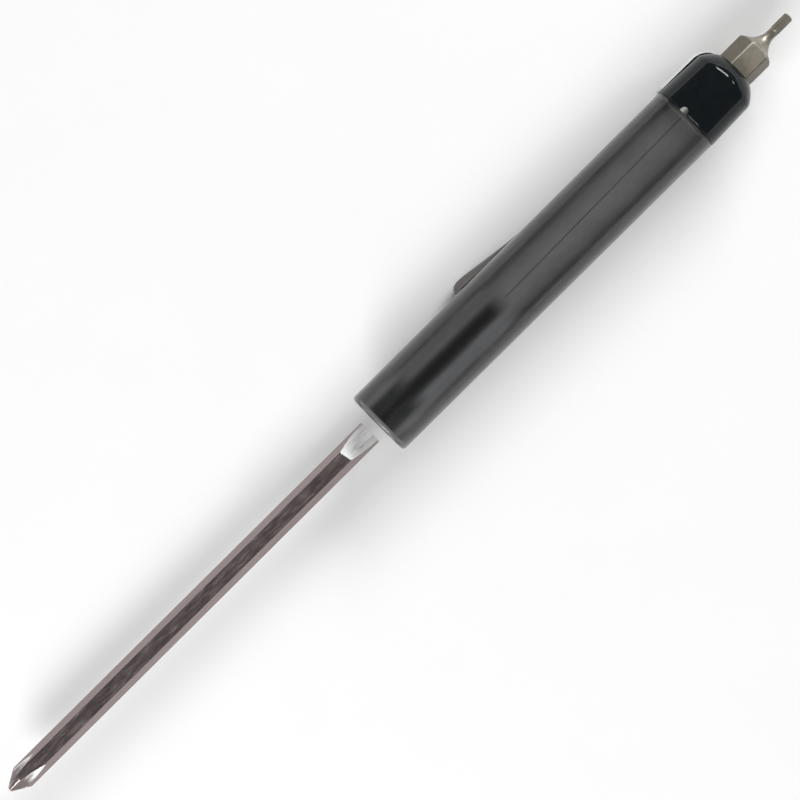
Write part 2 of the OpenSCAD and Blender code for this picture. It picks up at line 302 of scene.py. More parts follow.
def soft_least(limits):
    """Least of the limits, with the edges between them rounded."""
    lowest = np.minimum.reduce(limits)
    total = sum(np.exp((lowest - limit) / EDGE_SOFTNESS) for limit in limits)
    return np.maximum(lowest - EDGE_SOFTNESS * np.log(total), LEAST_R)


# Materials


EVERY_WAY = (1, 1, 1)
MIDDLE = (0.3, 0.7)

# Sockets of a mix node for colours
MIX_FACTOR = 0
MIX_FIRST = 6
MIX_SECOND = 7
MIX_RESULT = 2

# Places in millimetres between which one shade passes into the next
PALE_RIM_FADES = (0.5, 1.15)
FRONT_FADES = (CORE_FRONT - 0.04, CORE_FRONT + 0.04)
BUSH_FADES = (BUSH_LEN - 3, BUSH_LEN + 2.5)
HOLE_FADES = (SEAT_DEPTH - 3, SEAT_DEPTH + 2)
CORE_ACROSS = (-1.6, 1.6)
KEY_ACROSS = (0.8, 1.4)
BIT_ACROSS = (-0.75, 0.75)
BIT_BODY_FADES = (BODY_END + 0.3, BODY_END + 0.9)
BIT_FLAT_FADES = (BIT_FLATS / 2 / math.sqrt(3), BIT_FLATS / 2 / math.sqrt(3) + 0.1)
BLADE_FLAT_FADES = (BLADE_FLATS / 2 - 0.04, BLADE_FLATS / 2 - 0.01)
GROUND_FADES = (SLOT_END - 3.6, SLOT_END - 1.0)
FLUTE_FADES = (CROSS_END + 6.6, CROSS_END + 2.4)


def grey(level):
    return (level, level, level)


class Look:
    """Shader nodes of one material or world, with a short call for each kind of node."""

    def __init__(self, owner, shader_kind="BSDF_PRINCIPLED"):
        owner.use_nodes = True
        self.owner = owner
        self.nodes = owner.node_tree.nodes
        self.links = owner.node_tree.links
        self.shader = next(n for n in self.nodes if n.type == shader_kind)

    def set(self, socket, value):
        self.shader.inputs[socket].default_value = value

    def feed(self, socket, source):
        self.links.new(source, self.shader.inputs[socket])

    def parts(self, kind):
        """X, Y and Z of a texture coordinate."""
        place = self.nodes.new("ShaderNodeTexCoord")
        split = self.nodes.new("ShaderNodeSeparateXYZ")
        self.links.new(place.outputs[kind], split.inputs["Vector"])
        return split.outputs

    def along(self):
        """Distance from the barrel's mouth, in metres."""
        return self.maths("SUBTRACT", self.parts("Object")["X"], MOUTH_X)

    def aside(self):
        """Distance from the axis toward the clip's side, in metres."""
        return self.maths("SUBTRACT", self.parts("Object")["Y"], AXIS_Y)

    def up(self):
        """Height over the axis, in metres."""
        return self.maths("SUBTRACT", self.parts("Object")["Z"], AXIS_Z)

    def noise(self, stretch, scale, detail=4.0, roughness=0.55):
        """Noise in object coordinates, stretched by three factors."""
        place = self.nodes.new("ShaderNodeTexCoord")
        mapping = self.nodes.new("ShaderNodeMapping")
        mapping.inputs["Scale"].default_value = stretch
        noise = self.nodes.new("ShaderNodeTexNoise")
        noise.inputs["Scale"].default_value = scale
        noise.inputs["Detail"].default_value = detail
        noise.inputs["Roughness"].default_value = roughness
        self.links.new(place.outputs["Object"], mapping.inputs["Vector"])
        self.links.new(mapping.outputs["Vector"], noise.inputs["Vector"])
        return noise.outputs["Fac"]

    def ramp(self, factor, stops):
        node = self.nodes.new("ShaderNodeValToRGB")
        while len(node.color_ramp.elements) < len(stops):
            node.color_ramp.elements.new(0.5)
        for element, (position, colour) in zip(node.color_ramp.elements, stops):
            element.position = position
            element.color = (*colour, 1)
        self.links.new(factor, node.inputs["Fac"])
        return node.outputs["Color"]

    def shades(self, factor, low, high):
        """Colour between two shades over the middle of a noise."""
        return self.ramp(factor, [(MIDDLE[0], low), (MIDDLE[1], high)])

    def span(self, factor, low, high):
        """Number between low and high, for a factor from 0 to 1."""
        node = self.nodes.new("ShaderNodeMapRange")
        node.inputs["To Min"].default_value = low
        node.inputs["To Max"].default_value = high
        self.links.new(factor, node.inputs["Value"])
        return node.outputs["Result"]

    def rise(self, distance, start, end, top=1.0, smooth=False):
        """0 at start and top at end, places in millimetres, with an even or a smooth change between."""
        node = self.nodes.new("ShaderNodeMapRange")
        node.interpolation_type = "SMOOTHSTEP" if smooth else "LINEAR"
        node.inputs["From Min"].default_value = start * MM
        node.inputs["From Max"].default_value = end * MM
        node.inputs["To Max"].default_value = top
        self.links.new(distance, node.inputs["Value"])
        return node.outputs["Result"]

    def maths(self, operation, first, second=None):
        node = self.nodes.new("ShaderNodeMath")
        node.operation = operation
        for socket, value in zip(node.inputs, (first, second)):
            if isinstance(value, (int, float)):
                socket.default_value = value
            elif value is not None:
                self.links.new(value, socket)
        return node.outputs["Value"]

    def blended(self, factor, first, second):
        """First colour at factor 0 and second at 1."""
        return self.mixed("MIX", factor, first, second)

    def mixed(self, how, factor, first, second):
        mix = self.nodes.new("ShaderNodeMix")
        mix.data_type = "RGBA"
        mix.blend_type = how
        if factor is None:
            mix.inputs[MIX_FACTOR].default_value = 1.0
        else:
            self.links.new(factor, mix.inputs[MIX_FACTOR])
        self.links.new(first, mix.inputs[MIX_FIRST])
        self.links.new(second, mix.inputs[MIX_SECOND])
        return mix.outputs[MIX_RESULT]

    def tinted(self, colour, tint):
        """One colour times another."""
        return self.mixed("MULTIPLY", None, colour, tint)

    def feed_bump(self, factor, depth):
        """Relief of a depth in metres."""
        node = self.nodes.new("ShaderNodeBump")
        node.inputs["Strength"].default_value = 1.0
        node.inputs["Distance"].default_value = depth
        self.links.new(factor, node.inputs["Height"])
        self.feed("Normal", node.outputs["Normal"])


def new_look(name):
    return Look(bpy.data.materials.new(name))


def smoky_plastic():
    """Clear smoky skin of the barrel, with painted light that makes it paler at the rim of the mouth."""
    look = new_look("smoky_plastic")
    grain = look.noise(EVERY_WAY, 900)
    cloud = look.noise((0.5, 1, 1), 420, detail=6.0, roughness=0.75)
    colour = look.shades(cloud, (0.124, 0.124, 0.126), (0.172, 0.172, 0.174))
    # The paler tint at the rim of the mouth is painted light.
    painted_rim_light = look.shades(cloud, (0.32, 0.32, 0.322), (0.37, 0.37, 0.372))
    past_rim = look.rise(look.along(), *PALE_RIM_FADES, smooth=True)
    look.feed("Base Color", look.blended(past_rim, painted_rim_light, colour))
    look.feed("Roughness", look.span(grain, 0.19, 0.25))
    look.set("IOR", 1.49)
    look.set("Transmission Weight", 1.0)
    look.set("Coat Weight", 0.35)
    look.set("Coat Roughness", 0.1)
    return look.owner


# Ramps of painted light and shade on the core, read by waves round the axis.
BUSH_PAINTED_SHADING = [
    (0.0, grey(0.86)),
    (0.09, grey(0.56)),
    (0.25, (0.21, 0.213, 0.218)),
    (0.5, (0.13, 0.133, 0.138)),
    (0.9, (0.105, 0.108, 0.115)),
    (1.0, (0.02, 0.021, 0.025)),
]
HOLE_PAINTED_SHADING = [
    (0.0, (0.92, 0.93, 0.94)),
    (0.22, (0.96, 0.98, 1.0)),
    (0.4, (0.78, 0.785, 0.79)),
    (0.63, grey(0.33)),
    (0.83, (0.11, 0.11, 0.112)),
    (1.0, (0.013, 0.014, 0.017)),
]
PLAIN_PAINTED_SHADING = [
    (0.0, (0.12, 0.12, 0.122)),
    (0.1, grey(0.20)),
    (0.27, grey(0.45)),
    (0.43, grey(0.68)),
    (0.7, (0.84, 0.835, 0.83)),
    (1.0, (0.97, 0.96, 0.95)),
]
# Painted light on the core's front ring, and painted shade on the clip's side of the streaks.
FRONT_PAINTED_LIGHT = grey(0.95)
CLIP_SIDE_PAINTED_SHADE = (0.76, 0.75, 0.735)


def core_painted_shading():
    """Painted light and shade of the plastic's inside: dark with bright bands round the bush, streaked along
    the blade's hole, and beyond it lighter at top and bottom than at the sides.
    """
    look = new_look("core_painted_shading")
    along, aside = look.along(), look.aside()
    turn = look.maths("ARCTAN2", aside, look.up())
    haze = look.noise((0.25, 1, 1), 300)
    shift = look.maths("MULTIPLY", look.maths("SUBTRACT", haze, 0.5), 0.35)

    def wave(folds):
        """Wave round the axis from 0 to 1, shifted by the haze."""
        turned = look.maths("COSINE", look.maths("MULTIPLY", turn, folds))
        half = look.maths("MULTIPLY", turned, 0.5)
        return look.maths("ADD", look.maths("ADD", half, 0.5), shift)

    # Painted light and shade: bands round the bush, streaks for the flats of the blade's hole, and beyond it
    # lighter top and bottom than sides.
    bush = look.ramp(wave(3), BUSH_PAINTED_SHADING)
    streaks = look.ramp(wave(4), HOLE_PAINTED_SHADING)
    painted_plain = look.ramp(wave(2), PLAIN_PAINTED_SHADING)
    # Painted shade that darkens the streaks toward the clip's side.
    painted_side_share = look.rise(aside, *CORE_ACROSS)
    streaks = look.tinted(streaks, look.ramp(painted_side_share, [(0.0, grey(1.0)), (1.0, CLIP_SIDE_PAINTED_SHADE)]))
    past_bush = look.rise(along, *BUSH_FADES, smooth=True)
    past_hole = look.rise(along, *HOLE_FADES, smooth=True)
    past_front = look.rise(along, *FRONT_FADES, smooth=True)
    # Pale front ring of the core: painted light.
    ring = look.ramp(haze, [(0.0, FRONT_PAINTED_LIGHT), (1.0, FRONT_PAINTED_LIGHT)])
    mouth = look.blended(past_bush, look.blended(past_front, ring, bush), streaks)
    look.feed("Base Color", look.blended(past_hole, mouth, painted_plain))
    look.set("Roughness", 0.6)
    return look.owner


def key_plastic():
    """Plastic of the key, with painted light that makes it pale on the clip's side and painted shade that
    makes it smoky on the other.
    """
    look = new_look("key_plastic")
    cloud = look.noise(EVERY_WAY, 900)
    key_painted_light = look.shades(cloud, grey(0.28), grey(0.36))
    key_painted_shade = look.shades(cloud, (0.05, 0.05, 0.052), (0.07, 0.07, 0.072))
    # Painted light on the clip's side of the key and painted shade on the other.
    painted_side_share = look.rise(look.aside(), *KEY_ACROSS)
    look.feed("Base Color", look.blended(painted_side_share, key_painted_shade, key_painted_light))
    look.set("Roughness", 0.25)
    return look.owner


def line_plastic():
    """Dark plastic of the fine line on the core."""
    look = new_look("fine_dark_line")
    look.feed("Base Color", look.shades(look.noise(EVERY_WAY, 400), grey(0.04), grey(0.09)))
    look.set("Roughness", 0.6)
    return look.owner


def bush_plastic():
    """Dark plastic with a fine grain."""
    look = new_look("bush_plastic")
    grain = look.noise(EVERY_WAY, 800)
    look.feed("Base Color", look.shades(grain, (0.02, 0.02, 0.021), (0.03, 0.03, 0.031)))
    look.feed("Roughness", look.span(grain, 0.35, 0.5))
    return look.owner


def cap_plastic():
    """Glossy black plastic."""
    look = new_look("cap_plastic")
    grain = look.noise(EVERY_WAY, 500)
    look.feed("Base Color", look.shades(grain, (0.004, 0.006, 0.007), (0.006, 0.008, 0.009)))
    look.feed("Roughness", look.span(grain, 0.025, 0.06))
    look.feed_bump(grain, 0.000001)
    look.set("Specular IOR Level", 0.23)
    return look.owner


def metal(name, dark, light, roughness, stretch, scale, depth, metallic=1.0):
    """Metal with lines or grain of a depth in metres."""
    look = new_look(name)
    lines = look.noise(stretch, scale)
    look.feed("Base Color", look.shades(lines, dark, light))
    look.feed("Roughness", look.span(lines, *roughness))
    look.feed_bump(lines, depth)
    look.set("Metallic", metallic)
    return look.owner


def wheel_cut(name, plain_tone, highlight_tone, fades, cover):
    """Ground face with the streaks of the wheel and a painted highlight, which fades to a plainer tone
    between two places along the tool.
    """
    look = new_look(name)
    streaks = look.noise((0.06, 1, 1), 1700)
    uneven = look.maths("MULTIPLY", look.maths("SUBTRACT", streaks, 0.5), 2.6)
    # The bright tone near the run-out of the cut is a painted highlight.
    off_highlight = look.rise(look.along(), *fades, cover)
    look.feed("Base Color", look.ramp(look.maths("ADD", off_highlight, uneven), [(0.1, highlight_tone), (0.9, plain_tone)]))
    look.feed("Roughness", look.span(streaks, 0.4, 0.55))
    look.feed_bump(streaks, 0.000005)
    look.set("Metallic", 0.05)
    return look.owner


def bit_steel():
    """Dull steel with painted shade on four flats that leaves one pair brighter, corners with a painted
    highlight on the clip's side and painted shade on the other, and a glossier neck and tip.
    """
    look = new_look("bit_steel")
    along, aside, up = look.along(), look.aside(), look.up()
    grain = look.noise(EVERY_WAY, 1400)
    drawn = look.shades(grain, (0.205, 0.181, 0.143), (0.265, 0.235, 0.187))
    turned = look.shades(grain, (0.19, 0.174, 0.142), (0.27, 0.248, 0.204))
    corner_painted_highlight = look.shades(grain, (0.42, 0.38, 0.31), (0.6, 0.55, 0.47))
    corner_painted_shade = look.shades(grain, (0.05, 0.046, 0.038), (0.08, 0.074, 0.062))
    corner = look.maths("SUBTRACT", look.maths("ARCTAN2", up, aside), math.radians(BIT_TURN))
    folded = look.maths("COSINE", look.maths("MULTIPLY", corner, 6))
    on_corner = look.ramp(folded, [(0.972, grey(0)), (0.99, grey(1))])
    # Painted shade on the four side flats leaves the pair of flats at bright_flat brighter.
    bright_flat = math.radians(BIT_TURN + 90)
    along_flat = look.maths(
        "SUBTRACT",
        look.maths("MULTIPLY", aside, math.sin(bright_flat)),
        look.maths("MULTIPLY", up, math.cos(bright_flat)),
    )
    off_flat = look.rise(look.maths("ABSOLUTE", along_flat), *BIT_FLAT_FADES)
    drawn = look.tinted(drawn, look.ramp(off_flat, [(0.0, grey(1.0)), (1.0, (0.53, 0.525, 0.5))]))
    # Corners get a painted highlight on the clip's side and a painted shade on the other.
    corner_light_and_shade = look.blended(look.rise(aside, *BIT_ACROSS), corner_painted_shade, corner_painted_highlight)
    body = look.blended(on_corner, drawn, corner_light_and_shade)
    past_body = look.rise(along, *BIT_BODY_FADES, smooth=True)
    look.feed("Base Color", look.blended(past_body, body, turned))
    look.feed("Roughness", look.span(past_body, 0.44, 0.33))
    look.feed("Metallic", look.span(past_body, 0.1, 0.45))
    look.feed_bump(grain, 0.000008)
    return look.owner


def blade_steel():
    """Drawn steel, with the upper and the lower flat in darker and lighter streaks."""
    look = new_look("blade_steel")
    lines = look.noise((0.03, 1, 1), 3000)
    streak_noise = look.noise((0.16, 1, 1), 2000, detail=5.0, roughness=0.7)
    drawn = look.shades(lines, (0.245, 0.198, 0.197), (0.305, 0.25, 0.248))
    flat_streaks = look.ramp(streak_noise, [
        (0.36, (0.175, 0.14, 0.139)),
        (0.5, (0.275, 0.224, 0.222)),
        (0.64, (0.46, 0.385, 0.38)),
    ])
    height = look.maths("ABSOLUTE", look.up())
    on_flat = look.rise(height, *BLADE_FLAT_FADES)
    look.feed("Base Color", look.blended(on_flat, drawn, flat_streaks))
    look.feed("Roughness", look.span(streak_noise, 0.1, 0.36))
    look.feed_bump(lines, 0.000003)
    look.set("Metallic", 0.85)
    return look.owner


SKIN = smoky_plastic()
CORE = core_painted_shading()
LINE = line_plastic()
KEY = key_plastic()
CAP = cap_plastic()
BUSH = bush_plastic()
BLADE = blade_steel()
# Both wheel cuts carry a painted highlight near the run-out.
GROUND = wheel_cut(
    "ground_steel", plain_tone=(0.60, 0.585, 0.58), highlight_tone=grey(1.0), fades=GROUND_FADES, cover=0.6
)
FLUTE = wheel_cut(
    "flute_steel", plain_tone=(0.21, 0.18, 0.178), highlight_tone=(0.95, 0.93, 0.925), fades=FLUTE_FADES, cover=1.0
)
BIT = bit_steel()
CLIP = metal(
    "clip_steel",
    dark=(0.10, 0.093, 0.09),
    light=(0.14, 0.131, 0.127),
    roughness=(0.06, 0.14),
    stretch=(0.1, 1, 1),
    scale=900,
    depth=0.000002,
)
# Near-white sheared edge: partly the rough pale edge of the sheet, partly a painted highlight.
EDGE_AND_HIGHLIGHT = metal(
    "sheared_edge_and_highlight",
    dark=(0.93, 0.93, 0.925),
    light=(0.98, 0.98, 0.975),
    roughness=(0.5, 0.6),
    stretch=EVERY_WAY,
    scale=2500,
    depth=0.000004,
    metallic=0.05,
)
MAGNET = metal(
    "magnet_plating",
    dark=grey(0.6),
    light=grey(0.66),
    roughness=(0.2, 0.3),
    stretch=EVERY_WAY,
    scale=900,
    depth=0.000003,
)


# Barrel


def key_height(turn, gap):
    """Height of the rounded key above the rim at a turn round the axis."""
    aside = abs(turn - KEY_TURN) * math.pi / 180 * TOP_R
    half = KEY_HALF_W + gap
    if aside >= half:
        return 0
    return KEY_H - KEY_HALF_W + math.sqrt(half**2 - aside**2)


def barrel_path(turn):
    """Outline from the floor of the blade's hole, over the mouth and along the side, to the rim."""
    hole = hexagon(turn, HOLE_FLATS, 90)
    end = RIM + key_height(turn, 0)
    side = list(zip(even(MOUTH_ROUND, RIM, 24), even(MOUTH_R, TOP_R, 24)))
    return [
        (SEAT_DEPTH, CLOSED_R),
        (SEAT_DEPTH, hole),
        (BUSH_LEN, hole),
        (BUSH_LEN, BUSH_R),
        (END_ROUND, BUSH_R),
        (0, BUSH_R + END_ROUND),
        *arc((MOUTH_ROUND, MOUTH_R - MOUTH_ROUND), MOUTH_ROUND, 180, 90, 10),
        *side[1:-1],
        (end - END_ROUND, TOP_R),
        (end, TOP_R - END_ROUND),
        (end, TOP_R - END_LAND),
        (RIM, TOP_R - END_LAND - END_STEP),
        (RIM, CLOSED_R),
    ]


def core_path(turn):
    """Outline round the blade's hole and the bush, along the core and round the end of the socket."""
    hole = hexagon(turn, HOLE_FLATS, 90) + CORE_OFF_HOLE
    socket = hexagon(turn, SOCKET_FLATS, BIT_TURN + 30) + CORE_OFF_SOCKET
    bush = BUSH_R + CORE_OFF_BUSH
    return [
        (SEAT_DEPTH + CORE_OFF_FLOOR, CLOSED_R),
        (SEAT_DEPTH + CORE_OFF_FLOOR, hole),
        (BUSH_LEN + CORE_OFF_FLOOR, hole),
        (BUSH_LEN + CORE_OFF_FLOOR, bush),
        (CORE_START, bush),
        *[(along, CORE_R) for along in even(CORE_START, CORE_END, 12)[:-1]],
        (SOCKET_FLOOR - CORE_WIDENS_FROM, CORE_R),
        (SOCKET_FLOOR - CORE_WIDENS_TO, CORE_SEAT_R),
        (CORE_END, CORE_SEAT_R),
        (CORE_END, socket),
        (SOCKET_FLOOR - CORE_OFF_SOCKET_FLOOR, socket),
        (SOCKET_FLOOR - CORE_OFF_SOCKET_FLOOR, CLOSED_R),
    ]


def key():
    """The key of the barrel that stands in the notch of the cap."""
    points, faces = [], []
    steps = 16
    half_turn = math.degrees(KEY_HALF_W / TOP_R)
    foot = RIM - KEY_ROOT
    outer_r = TOP_R + KEY_PROUD
    for turn in even(KEY_TURN - half_turn, KEY_TURN + half_turn, steps):
        top = RIM + key_height(turn, KEY_DROP)
        for along, radius in ((foot, KEY_INNER_R), (top, KEY_INNER_R), (top, outer_r), (foot, outer_r)):
            points.append(spot(along, radius, turn))
    for i in range(steps):
        for k in range(4):
            a, b = 4 * i + k, 4 * i + (k + 1) % 4
            faces.append((a, a + 4, b + 4, b))
    return mesh_object("barrel_key", points, faces, sharp=40)


def fine_dark_line():
    """Fine dark line that runs along the top of the core, turning slowly round it."""
    steps = 40
    radius = CORE_R + LINE_PROUD
    half = math.degrees(LINE_HALF_W / CORE_R)
    points = []
    for along, turn in zip(even(LINE_START, LINE_END, steps), even(*LINE_TURNS, steps)):
        points += [spot(along, radius, turn + half), spot(along, radius, turn - half)]
    faces = [(2 * i, 2 * i + 1, 2 * i + 3, 2 * i + 2) for i in range(steps)]
    return mesh_object("fine_dark_line", points, faces)


# End cap


def dome_at(radius):
    """Place along the tool where the dome has a radius."""
    return DOME_AT + math.sqrt(DOME_R**2 - radius**2)


def side_radius(along):
    """Radius of the cap's tapered side."""
    return RIM_R - CAP_DRAFT * (along - RIM) / (SHOULDER - RIM)


def cap_shoulder(ahead, behind):
    """Curve that touches the dome ahead and the tapered side behind."""
    corner = (SHOULDER, SHOULDER_R)
    return [
        tuple(
            (1 - share) ** 2 * a + 2 * share * (1 - share) * c + share**2 * b
            for a, c, b in zip(ahead, corner, behind)
        )
        for share in even(0, 1, 8)
    ]


def cap_rim(low, low_r, notch):
    """Rounded rim, or the sharp edge of the notch where that is deeper."""
    in_notch = notch > RIM_ROUND
    foot = notch if in_notch else 0
    depth = 0 if in_notch else RIM_ROUND
    rim = []
    for angle in ROUND_ANGLES:
        sine, cosine = math.sin(math.radians(angle)), math.cos(math.radians(angle))
        rim.append((RIM + foot + (low - foot) * (1 - sine), low_r - depth * (1 - cosine)))
    return rim


def cap_path(turn):
    """Outline from the floor of the socket, over the dome and the shoulder, to the rim with its notch."""
    hole = hexagon(turn, SOCKET_FLATS, BIT_TURN + 30)
    mouth_r = hole + SOCKET_LIP
    mouth = min(CAP_TOP, dome_at(mouth_r))
    dome_start_r = SHOULDER_R - SHOULDER_INSET
    dome = [(min(CAP_TOP, dome_at(radius)), radius) for radius in even(mouth_r, dome_start_r, 28)[1:-1]]
    side_end = SHOULDER - SHOULDER_BLEND
    side_end_r = side_radius(side_end)
    notch = key_height(turn, FIT)
    low = max(notch, RIM_ROUND)
    low_r = side_radius(RIM + low)
    return [
        (SOCKET_FLOOR, CLOSED_R),
        (SOCKET_FLOOR, hole),
        (mouth - SOCKET_LIP, hole),
        (mouth - SOCKET_LIP * LIP_MIDDLE, hole + SOCKET_LIP * LIP_MIDDLE),
        (mouth, mouth_r),
        *dome,
        *cap_shoulder((dome_at(dome_start_r), dome_start_r), (side_end, side_end_r)),
        ((RIM + side_end) / 2, (side_end_r + low_r) / 2),
        (RIM + low, low_r),
        *cap_rim(low, low_r, notch),
        (RIM + notch, TOP_R - RIM_HOLLOW),
        (RIM + notch, CLOSED_R),
    ]


# Clip


CLIP_TURNS = even(-90, 90, 24)
NECK_ANGLES = (0, 20, 40, 60, 75, 90)
BALL_ANGLES = even(0, 89.5, 20)


def arm_top(along):
    """Outer level of the clip's arm at a place along the tool."""
    rise = BEND_R * (1 - math.cos(math.radians(ARM_SLOPE)))
    if along > BEND_START:
        return CLIP_R
    if along > RAMP_START:
        return CLIP_R + BEND_R - math.sqrt(BEND_R**2 - (BEND_START - along) ** 2)
    if along > RAMP_END:
        return CLIP_R + rise + (RAMP_START - along) * math.tan(math.radians(ARM_SLOPE))
    return BALL_TOP - BALL_BEND_R + math.sqrt(BALL_BEND_R**2 - max(along - BALL, 0) ** 2)


def arm_half(along):
    """Half the width of the arm, which widens down the ramp toward the ball."""
    share = min(max((RAMP_START - along) / (RAMP_START - BALL), 0), 1)
    return ARM_W / 2 + (BALL_W - ARM_W) / 2 * share


def arm_point(along, turn, depth):
    """Point of the arm's section, in (along, toward the clip's side, across)."""
    part = min(max((SPLIT - along) / FORM_LEN, 0), 1)
    form = part * part * (3 - 2 * part)
    top = arm_top(along) - depth
    share = 1 - (max(BALL - along, 0) / (BALL_END - depth)) ** FULLNESS
    size = max(share, CLOSED_SHARE**FULLNESS) ** (1 / FULLNESS)
    sine, cosine = math.sin(math.radians(turn)), math.cos(math.radians(turn))
    channel = (ARM_EDGE + (top - ARM_EDGE) * cosine * size, (arm_half(along) - depth) * sine * size)
    across = arm_half(along) * sine * top / arm_top(along)
    wrap = (math.sqrt(top**2 - across**2), across)
    return (along, *(w + (c - w) * form for w, c in zip(wrap, channel)))


def head_profile():
    """Outer outline of the clip's head, from the bit to the neck, in (along, radius, slope)."""
    first = math.asin((HEAD_END_R - HEAD_BEND_AT[1]) / HEAD_BEND)
    path = [
        (
            HEAD_BEND_AT[0] + HEAD_BEND * math.cos(angle),
            HEAD_BEND_AT[1] + HEAD_BEND * math.sin(angle),
            angle,
        )
        for angle in even(first, math.pi / 2, 32)
    ]
    along, radius, slope = path[-1]
    for z, r in list(zip(even(along, RIM, 12), even(radius, CLIP_R, 12)))[1:]:
        path.append((z, r, slope))
    return path


def head_half(along, radius):
    """Half the width of the head, with rounded corners at the rim of the cap."""
    half = min(HEAD_HALF_W, radius * math.sin(math.radians(HEAD_SPREAD)))
    if along < RIM + HEAD_ROUND:
        half -= HEAD_ROUND - math.sqrt(max(HEAD_ROUND**2 - (RIM + HEAD_ROUND - along) ** 2, 0))
    return half


def head_rows():
    """Outer and inner row of points at each station of the head."""
    path = head_profile()
    stations = [p for p in path if p[0] > RIM + HEAD_ROUND]
    for angle in ROUND_ANGLES:
        low = path[-1][0] + HEAD_ROUND * (1 - math.sin(math.radians(angle)))
        stations.append((low, CLIP_R, math.pi / 2))
    rows = []
    for along, radius, slope in stations:
        half = head_half(along, radius)
        outer, inner = [], []
        for turn in CLIP_TURNS:
            side = math.asin(half * math.sin(math.radians(turn)) / radius)
            for row, depth in ((outer, 0), (inner, CLIP_T)):
                r = radius - depth * math.sin(slope)
                row.append((along - depth * math.cos(slope), r * math.cos(side), r * math.sin(side)))
        rows.append((outer, inner))
    return rows


def neck_rows():
    """Rows where the head narrows to the arm in two rounds."""
    rows = []
    for angle in NECK_ANGLES:
        along = RIM - NECK_ROUND * (1 - math.cos(math.radians(angle)))
        away = along - (RIM - NECK_ROUND)
        half = ARM_W / 2 + NECK_ROUND - math.sqrt(NECK_ROUND**2 - away**2)
        sides = [math.asin(half * math.sin(math.radians(turn)) / CLIP_R) for turn in CLIP_TURNS]
        rows.append(tuple(
            [(along, r * math.cos(side), r * math.sin(side)) for side in sides]
            for r in (CLIP_R, CLIP_R - CLIP_T)
        ))
    return rows


def arm_rows():
    """Rows along the arm, down the ramp and over the ball."""
    places = even(SPLIT, BEND_START, 24)[:-1]
    places += even(BEND_START, RAMP_START, 10)[:-1]
    places += even(RAMP_START, RAMP_END, 12)[:-1]
    places += even(RAMP_END, BALL, 6)[:-1]
    places += [BALL - BALL_END * math.sin(math.radians(angle)) for angle in BALL_ANGLES]
    return [
        tuple([arm_point(along, turn, depth) for turn in CLIP_TURNS] for depth in (0, CLIP_T))
        for along in places
    ]


def clip_point(place):
    """Point of the scene for one in (along, toward the clip's side, across)."""
    along, toward, across = place
    turn = math.radians(CLIP_TURN)
    return Vector((
        MOUTH_X + along * MM,
        AXIS_Y + (toward * math.cos(turn) - across * math.sin(turn)) * MM,
        AXIS_Z + (toward * math.sin(turn) + across * math.cos(turn)) * MM,
    ))


def clip():
    """One sheet through all rows, with its sheared edges in a near-white finish of their own, partly a
    painted highlight.
    """
    rows = head_rows() + neck_rows() + arm_rows()
    points = [clip_point(p) for outer, inner in rows for p in (*outer, *inner)]
    count, ring = len(CLIP_TURNS), 2 * len(CLIP_TURNS)
    loop = [*range(count), *range(ring - 1, count - 1, -1)]
    faces = []
    for k in range(len(rows) - 1):
        for i, a in enumerate(loop):
            b = loop[(i + 1) % ring]
            faces.append((k * ring + b, k * ring + a, (k + 1) * ring + a, (k + 1) * ring + b))
    sides = len(faces)
    for k, step in ((0, 1), (len(rows) - 1, -1)):
        for i in range(count - 1):
            quad = (k * ring + i, k * ring + i + 1, k * ring + count + i + 1, k * ring + count + i)
            faces.append(quad[::step])
    piece = mesh_object("clip", points, faces, sharp=50)
    piece.data.materials.append(CLIP)
    piece.data.materials.append(EDGE_AND_HIGHLIGHT)
    for k in [*range(count - 1, sides, ring), *range(ring - 1, sides, ring)]:
        piece.data.polygons[k].material_index = 1
    edge = piece.modifiers.new("edge", "BEVEL")
    edge.width = CLIP_EDGE_ROUND * MM
    edge.segments = 2
    edge.limit_method = "ANGLE"
    edge.angle_limit = math.radians(60)
    return piece


# Blade and bit


def flute_limit(along, turns):
    """Radius at which a wheel with a V edge cuts the blade."""
    away = np.radians((turns - WING_TURN) % 90 - 45)
    slope, half = math.radians(FLUTE_SLOPE), math.radians(FLUTE_HALF_ANGLE)
    centre = FLUTE_ROOT + FLUTE_WHEEL_R * math.cos(slope)
    ahead = along - (CROSS_END - FLUTE_WHEEL_R * math.sin(slope))
    c, k = np.cos(away), np.abs(np.sin(away)) / math.tan(half)
    # A ray from the axis meets the wheel where a * r**2 + b * r + d = 0, and the nearer root counts.
    a, b = c**2 - k**2, -2 * (centre * c - FLUTE_WHEEL_R * k)
    d = centre**2 + ahead**2 - FLUTE_WHEEL_R**2
    inside = b**2 - 4 * a * d
    root = 2 * d / (-b + np.sqrt(np.maximum(inside, 0)))
    return np.where((inside > 0) & (b < 0), root, NO_CUT)


def point_limit(along):
    """Radius of the turned point of the cross tip."""
    ahead = along - CROSS_END
    half = math.radians(POINT_HALF_ANGLE)
    flat = NOSE_R - NOSE_ROUND
    touch = NOSE_ROUND * (1 - math.sin(half))
    if ahead < touch:
        return flat + math.sqrt(max(NOSE_ROUND**2 - (NOSE_ROUND - ahead) ** 2, 0))
    return flat + NOSE_ROUND * math.cos(half) + (ahead - touch) * math.tan(half)


def ground_level(along):
    """Half the thickness that the grinding wheel leaves, or None where it doesn't reach."""
    reach = SLOT_END + GRIND_LEAD - along
    if reach >= GRIND_WHEEL_R:
        return None
    centre = SLOT_HALF_T + math.sqrt(GRIND_WHEEL_R**2 - GRIND_LEAD**2)
    return centre - math.sqrt(GRIND_WHEEL_R**2 - reach**2)


